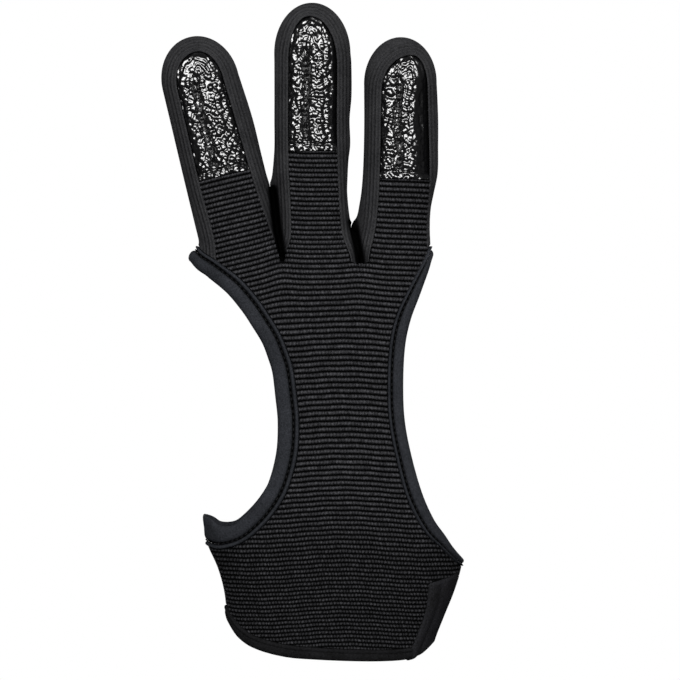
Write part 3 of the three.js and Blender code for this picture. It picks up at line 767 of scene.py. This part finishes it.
def strap_side(share, turn, lift):
    """A face of the strap: a share of the way down it, at an angle round the wrist from the thumb's side."""
    c, s = bowed(turn)
    x_top, x_foot = [c * half_width(np.full_like(c, level), c) for level in (8.0, -13.0)]
    around = smoothstep(turn / 0.9 + 0.5)
    top = (1 - around) * smooth_read(STRAP_FRONT_TOP, x_top)[..., 0] + around * strap_top(x_top)
    foot = (1 - around) * smooth_read(STRAP_FRONT_FOOT, x_foot)[..., 0]
    foot = foot + around * (strap_top(x_foot) - STRAP_WIDTH)
    z = top + share * (foot - top)
    _, _, front, back = np.moveaxis(smooth_read(HAND_SECTIONS, z / PALM_HEIGHT), -1, 0)
    y = s * np.where(s < 0, front, back) * PALM_DEPTH
    points = np.stack([c * half_width(z, c), y, z], axis=-1)
    flat = settle(points.reshape(-1, 3), rounds=2)
    return (flat + normals_at(flat) * lift.reshape(-1, 1)).reshape(points.shape)


def wrist_strap():
    """From its slanted seam on the palm side, round the thumb's side and over the back to a rounded end."""
    rows, columns = 46, 230
    seam = smooth_line(STRAP_SEAM, 300)
    share = np.linspace(0, 1, rows)
    share = share - 0.035 * np.sin(2 * np.pi * share)
    level = STRAP_FRONT_TOP[1][1] + share * (STRAP_FRONT_FOOT[1][1] - STRAP_FRONT_TOP[1][1])
    x_start = np.interp(level, seam[::-1, 1], seam[::-1, 0])
    start = -np.arccos(np.minimum(x_start / half_width(level, 1), 1) ** (SQUARENESS / 2))
    swing = np.sqrt(np.maximum(0.25 - (share - 0.5) ** 2, 0)) * 2
    x_end = STRAP_REACH - 3 + swing * STRAP_WIDTH / 5
    end = np.pi - np.arccos(np.minimum(x_end / half_width(4.0, -1), 1) ** (SQUARENESS / 2))
    along = np.linspace(0, 1, columns)
    turn = start[:, None] + along * (end - start)[:, None]
    down = np.repeat(share[:, None], columns, axis=1)
    climb = np.where(turn > 0, smoothstep((32.0 - bowed(turn)[0] * HALF_WRIST) / 6.5), 0.0)
    wave = 0.12 * np.sin(turn * 5.1 + down * 2.2) + 0.08 * np.sin(turn * 11.0 - down * 3.0)
    near = along * HALF_WRIST
    hemmed = np.exp(-(((near - 1.0) / 0.8) ** 2)) - 0.8 * np.exp(-(((near - 2.4) / 0.5) ** 2))
    lift = climb * (2.35 + wave) + 0.35 * hemmed + 0.15 * wave
    from_ends = np.minimum(along, 1 - along) * HALF_WRIST * 3
    edge = np.minimum(np.minimum(down, 1 - down) * STRAP_WIDTH, from_ends)
    fall = 0.45 * np.maximum(1 - edge / 0.7, 0)
    outer = strap_side(down, turn, lift - fall)
    inner = strap_side(down, turn, lift - STRAP_WALL + 0.5 * fall)
    points = np.concatenate([outer.reshape(-1, 3), inner.reshape(-1, 3)])
    rim = rim_of(rows, columns)
    far = rim + rows * columns
    faces = grid_faces(rows, columns)
    faces += [[i + rows * columns for i in face[::-1]] for face in faces]
    faces += np.stack([rim, np.roll(rim, -1), np.roll(far, -1), far], axis=1).tolist()
    return face_outwards(mesh_object("wrist_strap_cloth", points, faces))


# Materials


MATH, VECTOR_MATH = "ShaderNodeMath", "ShaderNodeVectorMath"
RANGE, MIX, BUMP = "ShaderNodeMapRange", "ShaderNodeMix", "ShaderNodeBump"
NOISE, PLACE = "ShaderNodeTexNoise", "ShaderNodeTexCoord"
ATTRIBUTE, STORED = "ShaderNodeAttribute", "GeometryNodeInputNamedAttribute"


def shade(hexcode):
    """A screen colour as the light values that Blender wants."""
    parts = [int(hexcode[i:i + 2], 16) / 255 for i in (1, 3, 5)]
    return [*[v / 12.92 if v <= 0.04045 else ((v + 0.055) / 1.055) ** 2.4 for v in parts], 1.0]


def add(tree, kind, *inputs, named=None, **settings):
    """One node with its settings; inputs, in order or named, are values, outputs or nodes' first outputs."""
    node = tree.nodes.new(kind)
    for name, value in settings.items():
        setattr(node, name, value)
    for key, value in [*enumerate(inputs), *(named or {}).items()]:
        if isinstance(value, bpy.types.Node):
            value = value.outputs[0]
        if isinstance(value, bpy.types.NodeSocket):
            tree.links.new(value, node.inputs[key])
        else:
            node.inputs[key].default_value = value
    return node


def cleared(owner):
    """The empty node tree of a material or a world."""
    owner.use_nodes = True
    owner.node_tree.nodes.clear()
    return owner.node_tree


def material(name, build, finish):
    """A Principled surface from plain numbers and from what build links to its inputs."""
    made = bpy.data.materials.new(name)
    tree = cleared(made)
    surface = add(tree, "ShaderNodeBsdfPrincipled", named={**finish, **build(tree)})
    add(tree, "ShaderNodeOutputMaterial", surface)
    return made


def smooth_knit(colour, other):
    # brushed jersey on foam: quite matt, with a fine grain, so that folds go dark; the slits between fingers
    # and a binding's stitch groove are painted near black as shade
    def build(tree):
        place = add(tree, PLACE).outputs["Object"]
        # the real stitch is finer; drawn coarser so that it shows
        grain = add(tree, NOISE, named={"Vector": place, "Scale": 1 / (0.55 * MM), "Detail": 3.0})
        cloud = add(tree, NOISE, named={"Vector": place, "Scale": 1 / (7.0 * MM), "Detail": 3.0})
        edge = add(tree, ATTRIBUTE, attribute_name="edge").outputs["Fac"]
        groove = add(tree, ATTRIBUTE, attribute_name="groove").outputs["Fac"]
        line = add(tree, MATH, edge, 2 * math.pi / 1.05, operation="MULTIPLY")
        line = add(tree, MATH, line, operation="SINE")
        line = add(tree, MATH, line, add(tree, RANGE, edge, 4.6, 3.2), operation="MULTIPLY")
        height = add(tree, MATH, line, 0.55, grain, operation="MULTIPLY_ADD")
        tone = add(tree, MATH, cloud, 0.35, operation="MULTIPLY")
        tone = add(tree, MATH, grain, 0.65, tone, operation="MULTIPLY_ADD")
        # the lines are real bumps; their tone is painted light and shade, lighter on the crests and darker in
        # the hollows
        tone = add(tree, MATH, line, 0.05, tone, operation="MULTIPLY_ADD")
        tone = add(tree, RANGE, tone, 0.36, 0.64)
        # painted shade: the groove attribute darkens the tone, then turns the base to near black
        tone = add(tree, MATH, groove, -1.2, tone, operation="MULTIPLY_ADD")
        tone = add(tree, MATH, tone, 0.0, operation="MAXIMUM")
        base = add(tree, MIX, tone, named={6: shade(colour), 7: shade(other)}, data_type="RGBA")
        painted_shade = add(tree, RANGE, groove, 0.15, 0.8)
        dark = add(tree, MIX, painted_shade, named={6: base.outputs[2], 7: shade("#020202")}, data_type="RGBA")
        bump = add(tree, BUMP, named={"Height": height, "Distance": 0.26 * MM, "Strength": 1.0})
        return {"Base Color": dark.outputs[2], "Normal": bump}
    return build


def ribbed_elastic(colour, other):
    # covered elastic webbing: ribs with a soft bead where each cross thread goes over, with painted shade in
    # the grooves and between the beads and lighter painted crowns
    def build(tree):
        place = add(tree, PLACE).outputs["Object"]
        weave = add(tree, "ShaderNodeSeparateXYZ", add(tree, "ShaderNodeUVMap", uv_map="weave"))
        u, v = weave.outputs[0], weave.outputs[1]
        cuff = add(tree, RANGE, add(tree, "ShaderNodeSeparateXYZ", place).outputs[2], 0.035, 0.015)
        row = add(tree, MATH, v, operation="FLOOR")
        share = add(tree, MATH, v, operation="FRACT")
        wander = add(tree, NOISE, named={"Vector": place, "Scale": 1 / (2.2 * MM), "Detail": 2.0})
        step = add(tree, MATH, row, 0.37, operation="MULTIPLY")
        step = add(tree, MATH, add(tree, MATH, u, 1.02, operation="DIVIDE"), step, operation="ADD")
        step = add(tree, MATH, wander, 1.3, step, operation="MULTIPLY_ADD")
        bead = add(tree, MATH, step, math.pi, operation="MULTIPLY")
        bead = add(tree, MATH, add(tree, MATH, bead, operation="SINE"), operation="ABSOLUTE")
        cell = add(tree, "ShaderNodeCombineXYZ", add(tree, MATH, step, operation="FLOOR"), row)
        each = add(tree, "ShaderNodeTexWhiteNoise", cell, noise_dimensions="3D")
        lump = add(tree, NOISE, named={"Vector": place, "Scale": 1 / (0.8 * MM), "Detail": 3.0})
        height = add(tree, MATH, bead, lump, operation="ADD")
        height = add(tree, MATH, height, 0.7, operation="MULTIPLY")
        # painted shade between the beads, stronger on the cuff
        painted_bead_shade = add(tree, MATH, 1.0, bead, operation="SUBTRACT")
        painted_bead_shade = add(tree, MATH, painted_bead_shade, add(tree, RANGE, cuff, 0.0, 1.0, 0.3, 0.85), operation="MULTIPLY")
        # painted light and shade: a rib is lightest on its crown and dark in the groove between two ribs
        crown = add(tree, MATH, share, math.pi, operation="MULTIPLY")
        crown = add(tree, MATH, add(tree, MATH, crown, operation="SINE"), 2.2, operation="POWER")
        tone = add(tree, MATH, crown, add(tree, MATH, 1.0, painted_bead_shade, operation="SUBTRACT"), operation="MULTIPLY")
        # each bead has its own tone, lumps darken it in part, and the cuff is darker on the whole
        parts = [(each, 0.0, 1.0, 0.62, 1.05), (lump, 0.3, 0.65, 0.45, 1.15), (cuff, 0.0, 1.0, 1.0, 0.8)]
        for value, *limits in parts:
            tone = add(tree, MATH, tone, add(tree, RANGE, value, *limits), operation="MULTIPLY")
        base = add(tree, MIX, tone, named={6: shade(colour), 7: shade(other)}, data_type="RGBA")
        bump = add(tree, BUMP, named={"Height": height, "Distance": 0.5 * MM, "Strength": 1.0})
        return {"Base Color": base.outputs[2], "Normal": bump}
    return build


def leather(colour):
    # glossy pebbled leather: the pebbles are in the mesh, the pores between them here
    def build(tree):
        place = add(tree, PLACE).outputs["Object"]
        pore = add(tree, NOISE, named={"Vector": place, "Scale": 1 / (0.35 * MM), "Detail": 3.0})
        dull = add(tree, ATTRIBUTE, attribute_name="dull").outputs["Fac"]
        base = add(tree, MIX, pore, named={6: shade(colour), 7: shade("#060607")}, data_type="RGBA")
        bump = add(tree, BUMP, named={"Height": pore, "Distance": 0.015 * MM, "Strength": 0.6})
        rough = add(tree, RANGE, dull, 0.0, 1.0, 0.22, 0.28)
        return {"Base Color": base.outputs[2], "Roughness": rough, "Normal": bump}
    return build


def plain_thread(colour):
    # twisted thread: nearly as dark as the cloth round it, so only its roundness shows
    def build(tree):
        place = add(tree, PLACE).outputs["Object"]
        fuzz = add(tree, NOISE, named={"Vector": place, "Scale": 1 / (0.4 * MM), "Detail": 3.0})
        base = add(tree, MIX, fuzz, named={6: shade(colour), 7: shade("#0d0d0e")}, data_type="RGBA")
        return {"Base Color": base.outputs[2]}
    return build


SMOOTH = material("neoprene with knitted face", smooth_knit("#161617", "#232324"), {
    "Roughness": 0.95, "Specular IOR Level": 0.0})
BINDING = material("folded knit binding", smooth_knit("#141517", "#1f2023"), {
    "Roughness": 0.9, "Specular IOR Level": 0.0})
HEM = material("folded knit hem", smooth_knit("#090909", "#121213"), {
    "Roughness": 0.95, "Specular IOR Level": 0.0})
STRAP = material("brushed loop cloth", smooth_knit("#0d0d0d", "#18181a"), {
    "Roughness": 0.95, "Specular IOR Level": 0.0})
# the webbing's first colour is the painted shade of its grooves, the second its lit crowns
RIBBED = material("ribbed elastic webbing", ribbed_elastic("#030303", "#303032"), {
    "Roughness": 0.9, "Specular IOR Level": 0.0})
LEATHER = material("glossy pebbled leather", leather("#020202"), {"Specular IOR Level": 0.9})
THREAD = material("twisted sewing thread", plain_thread("#050505"), {
    "Roughness": 0.6, "Specular IOR Level": 0.05})


# Geometry Nodes trees for what repeats: ribs, pebbles and stitches


def open_tree(name, numbers):
    """An empty tree that takes a mesh and named numbers."""
    tree = bpy.data.node_groups.new(name, "GeometryNodeTree")
    tree.interface.new_socket("Geometry", in_out="INPUT", socket_type="NodeSocketGeometry")
    tree.interface.new_socket("Geometry", in_out="OUTPUT", socket_type="NodeSocketGeometry")
    for label in numbers:
        tree.interface.new_socket(label, in_out="INPUT", socket_type="NodeSocketFloat")
    return tree, tree.nodes.new("NodeGroupInput")


def close_tree(tree, geometry, finish):
    """Ends a tree as plain faces in one material."""
    real = add(tree, "GeometryNodeRealizeInstances", geometry)
    dressed = add(tree, "GeometryNodeSetMaterial", real, named={"Material": finish})
    add(tree, "NodeGroupOutput", dressed)
    return tree


def lifted(tree, given, height, finish):
    """Ends a tree that moves the mesh along its stored lift by a height."""
    lift = add(tree, STORED, "lift", data_type="FLOAT_VECTOR")
    offset = add(tree, VECTOR_MATH, lift, named={"Scale": height}, operation="SCALE")
    shaped = add(tree, "GeometryNodeSetPosition", given, named={"Offset": offset})
    return close_tree(tree, shaped, finish)


def rib_tree():
    """Raises the outer face in ribs, rounded on top with a narrow groove between two."""
    tree, given = open_tree("ribs", ["Height"])
    share = add(tree, MATH, add(tree, STORED, "rib", data_type="FLOAT"), operation="FRACT")
    away = add(tree, MATH, share, 2.0, -1.0, operation="MULTIPLY_ADD")
    away = add(tree, MATH, away, operation="ABSOLUTE")
    groove = add(tree, MATH, away, 2.4, operation="POWER")
    crown = add(tree, MATH, 0.4, groove, operation="SUBTRACT")
    height = add(tree, MATH, crown, given.outputs["Height"], operation="MULTIPLY")
    return lifted(tree, given, height, RIBBED)


def pebble_tree():
    """Raises the leather's outer face in rounded pebbles with creases between them."""
    tree, given = open_tree("pebbles", ["Size", "Height", "Wander"])
    place = add(tree, "GeometryNodeInputPosition")
    wander = add(tree, NOISE, named={"Vector": place, "Scale": 700.0, "Detail": 1.0}).outputs[1]
    warped = add(tree, VECTOR_MATH, wander, named={"Scale": given.outputs["Wander"]}, operation="SCALE")
    warped = add(tree, VECTOR_MATH, place, warped, operation="ADD")
    count = add(tree, MATH, 1.0, given.outputs["Size"], operation="DIVIDE")
    cell = add(tree, "ShaderNodeTexVoronoi", named={"Vector": warped, "Scale": count}, feature="F1")
    away = add(tree, MATH, add(tree, MATH, cell, 0.62, operation="DIVIDE"), 1.3, operation="MINIMUM")
    away = add(tree, MATH, away, 2.0, operation="POWER")
    broad = add(tree, NOISE, named={"Vector": place, "Scale": 380.0, "Detail": 1.0})
    height = add(tree, MATH, add(tree, MATH, broad, 0.5, operation="MULTIPLY"), away, operation="SUBTRACT")
    height = add(tree, MATH, height, given.outputs["Height"], operation="MULTIPLY")
    return lifted(tree, given, height, LEATHER)


def stitch_tree():
    """A rounded stitch at every point, along its seam and lying on the cloth."""
    tree, given = open_tree("stitches", ["Length", "Thickness"])
    dots = add(tree, "GeometryNodeMeshToPoints", given)
    bead = add(tree, "GeometryNodeMeshUVSphere", 10, 8, 0.5)
    thick = given.outputs["Thickness"]
    size = add(tree, "ShaderNodeCombineXYZ", given.outputs["Length"], thick, thick)
    up, way = [add(tree, STORED, name, data_type="FLOAT_VECTOR") for name in ("up", "way")]
    turn = add(tree, "FunctionNodeAxesToRotation", up, way, primary_axis="Z", secondary_axis="X")
    row = add(tree, "GeometryNodeInstanceOnPoints", dots, named={
        "Instance": bead, "Rotation": turn, "Scale": size})
    return close_tree(tree, row, THREAD)


def grown(made, tree, numbers):
    """The piece after a tree has worked on it, as a plain mesh."""
    modifier = made.modifiers.new("grow", "NODES")
    modifier.node_group = tree
    for item in tree.interface.items_tree:
        if item.in_out == "INPUT" and item.name in numbers:
            modifier[item.identifier] = numbers[item.name]
    made.data = bpy.data.meshes.new_from_object(made.evaluated_get(bpy.context.evaluated_depsgraph_get()))
    made.modifiers.clear()
    return made


# Building


def outer_points(points, sink):
    return np.abs(form_distance(points) + sink) < 0.1


def ribs_on(panel):
    points = points_of(panel)
    outer = outer_points(points, RIBBED_SINK)
    firm = 0.55 + 0.45 * smoothstep((points[:, 2] - 8) / 30)
    give(panel, "lift", normals_at(points) * (outer * firm)[:, None])
    rib = rib_number(points[:, 0], points[:, 2])
    give(panel, "rib", rib)
    give_uv(panel, points[:, 0], rib)
    move_points(panel, creased(points))
    return grown(panel, rib_tree(), {"Height": RIB_HEIGHT * MM})


def rounded_sleeve(sleeve, index):
    """Turns the sleeve's edges down towards the window, as the cloth does at its seam."""
    finger = FINGERS[index]
    points = points_of(sleeve)
    near = distance_to(window_outline(finger, SEAM_GAP / 2), points[:, 0], points[:, 2])
    outer = outer_points(points, 0.0) & (points[:, 1] < -1)
    fall = 0.55 * (1 - np.sqrt(np.maximum(1 - (1 - np.minimum(near / 1.1, 1)) ** 2, 0)))
    points = np.where(outer[:, None], points - normals_at(points) * fall[:, None], points)
    move_points(sleeve, creased(points))
    # painted shade: the slits between fingers are darkened to near black through the groove attribute
    give(sleeve, "groove", painted_crease_shade(points))
    give(sleeve, "edge", np.where(points[:, 1] < 0, near, 9.0))
    return sleeve


def worked_leather(pad, finger):
    """The pad after wear: two long swellings with a valley between, a folded lower edge, then its pebbles."""
    points = points_of(pad)
    outer = outer_points(points, RIBBED_SINK)
    along, across = in_finger(finger, points[:, 0], points[:, 2])
    share = np.clip((along - pad_line(finger)) / finger["pad"], 0, 1)
    rim = distance_to(window_outline(finger, -SEAM_GAP / 2), points[:, 0], points[:, 2])
    rows = np.asarray(finger["window"])
    left, right = smooth_read(rows, along / finger["length"]).T * finger["width"]
    side = np.clip((across - left) / (right - left), 0, 1) + 0.02 * np.sin(along / 3.1)
    narrow, wide = [np.exp(-(((side - at) / reach) ** 2)) for at, reach in ((0.14, 0.1), (0.62, 0.18))]
    valley = np.maximum(1 - np.abs(side - 0.36) / 0.11, 0) ** 1.2
    rise = 0.3 * narrow - 1.15 * valley + 0.45 * wide
    rise = rise - 1.1 * smoothstep((side - finger["dull"]) / 0.25)
    reach = smoothstep(share / 0.12) * smoothstep((0.93 - share) / 0.25)
    tip = smoothstep((share - 0.72) / 0.16)
    rise = rise * reach - 0.3 * (1 - smoothstep(rim / 1.2)) * (share > 0.06)
    rise = rise - 0.45 * np.exp(-(((along - pad_line(finger) - 2.2) / 0.45) ** 2))
    ring = rim + 0.35 * np.sin(across * 0.9) + 0.25 * np.sin(across * 2.1 + 1)
    wrinkle = np.sin(2 * np.pi * ring / 1.5) * tip * 0.13
    normal = normals_at(points)
    points = np.where(outer[:, None], points + normal * (rise + wrinkle)[:, None], points)
    move_points(pad, points)
    dull = smoothstep((side - finger["dull"]) / 0.08)
    firm = (0.6 + 0.4 * smoothstep(rim / 0.6)) * (1 - 0.45 * tip) * (1 - 0.5 * dull)
    give(pad, "lift", normal * (outer * firm)[:, None])
    give(pad, "dull", dull)
    return grown(pad, pebble_tree(), {"Size": 1.55 * MM, "Height": 0.36 * MM, "Wander": 0.3 * MM})


def stitches(name, path, side):
    """Stitches along a path's own line, in the groove across the fold."""
    line = spaced(path, STITCH_PITCH, True)
    base = line[:, :3]
    way = ways_along(base, True)
    across = np.cross(normals_at(base), way) * side
    points = settle(base + across * STITCH_LINE * np.minimum(line[:, 3:4] / BINDING_WIDTH, 1))
    up = normals_at(points)
    seam = mesh_object(name, points - up * 0.08, [])
    give(seam, "up", up)
    give(seam, "way", way)
    return grown(seam, stitch_tree(), {"Length": 1.25 * MM, "Thickness": 0.42 * MM})


def place(made, finish, slot, *nodes, sharp=40):
    """Dresses a piece, and says what it moves with and the nodes that it replaces; its slot is not used."""
    made.data.materials.clear()
    made.data.materials.append(finish)
    made.data.shade_smooth()
    made.data.set_sharp_from_angle(angle=math.radians(sharp))
    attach(made, "root")
    if nodes:
        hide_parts(*nodes)
    return made


place(ribs_on(palm_panel()), RIBBED, "ribbed_elastic", "palm_panel", sharp=60)
place(back_panel(), SMOOTH, "smooth_knit", "back_panel")
for index, finger in enumerate(FINGERS):
    sleeve = rounded_sleeve(finger_sleeve(index), index)
    place(sleeve, SMOOTH, "smooth_knit", finger["name"] + "_sleeve", sharp=50)
    pad = worked_leather(finger_pad(finger), finger)
    place(pad, LEATHER, "pebbled_leather", finger["name"] + "_pad", sharp=60)
for name, edge, side in SIDE_EDGES:
    path = loop_path(edge, BINDING_STEP)
    fold = swept(name + "_fold", path, BINDING_PROFILE, True, side, sewn=True)
    place(fold, BINDING, "binding_knit", name)
    place(stitches(name + "_stitches", path, side), THREAD, "binding_knit")
path = hem_path(HEM_STEP)
hem = swept("wrist_hem_fold", path, HEM_PROFILE, False, 1)
place(hem, HEM, "binding_knit", "wrist_hem")
place(wrist_strap(), STRAP, "strap_cloth", "wrist_strap")


# Camera, floor and light


def white_world(seen, lit):
    """A white that the camera sees, and of which less falls on the glove."""
    world = bpy.data.worlds.new("studio white")
    tree = cleared(world)
    path = add(tree, "ShaderNodeLightPath").outputs["Is Camera Ray"]
    strength = add(tree, RANGE, path, 0.0, 1.0, lit, seen)
    background = add(tree, "ShaderNodeBackground", [1, 1, 1, 1], strength)
    add(tree, "ShaderNodeOutputWorld", background)
    bpy.context.scene.world = world


def glowing(name, colour):
    made = bpy.data.materials.new(name)
    tree = cleared(made)
    add(tree, "ShaderNodeOutputMaterial", add(tree, "ShaderNodeEmission", shade(colour), 1.0))
    return made


FRONT = (3.1, -1000.0, 80.6)
lens = bpy.data.cameras.new("camera")
lens.sensor_width, lens.lens = 36.0, 36.0 / 210.8 * 1000
lens.clip_start, lens.clip_end = 0.05, 50
camera = bpy.data.objects.new("camera", lens)
camera.location = Vector(FRONT) * MM
camera.rotation_euler = (math.radians(90), 0, 0)
bpy.context.scene.collection.objects.link(camera)
bpy.context.scene.camera = camera
bpy.context.scene.view_settings.view_transform = "Standard"

white_world(1.0, 0.06)
corners = [(x * 6000, y * 6000, -260) for x, y in ((-1, -1), (1, -1), (1, 1), (-1, 1))]
floor = mesh_object("floor", corners, [(0, 1, 2, 3)])
floor.data.materials.append(glowing("pale floor", "#ffffff"))
floor.visible_diffuse = floor.visible_glossy = False

# name, place, width and height, power, whether it shows as glints; without them it still lights the glove
SOFTBOXES = [
    ("front softbox", (-200, -900, 320), (440, 360), 9.5, True),
    ("second front softbox", (210, -910, 230), (420, 360), 8.0, True),
    ("left softbox", (-620, -640, 160), (150, 420), 3.5, False),
    ("right softbox", (620, -640, 160), (150, 420), 3.5, False),
    ("left softbox behind", (-700, 700, 400), (400, 600), 16.0, True),
    ("right softbox behind", (700, 700, 400), (400, 600), 16.0, True),
    ("light from above", (60, -300, 900), (500, 300), 8.0, False),
]
for name, at, size, power, mirrored in SOFTBOXES:
    light = bpy.data.lights.new(name, "AREA")
    light.shape, light.size, light.size_y = "RECTANGLE", size[0] * MM, size[1] * MM
    light.energy = power
    lamp = bpy.data.objects.new(name, light)
    lamp.location = Vector(at) * MM
    lamp.rotation_mode = "QUATERNION"
    lamp.rotation_quaternion = (Vector((0, 0, 100)) - Vector(at)).to_track_quat("-Z", "Y")
    lamp.visible_glossy = mirrored
    bpy.context.scene.collection.objects.link(lamp)
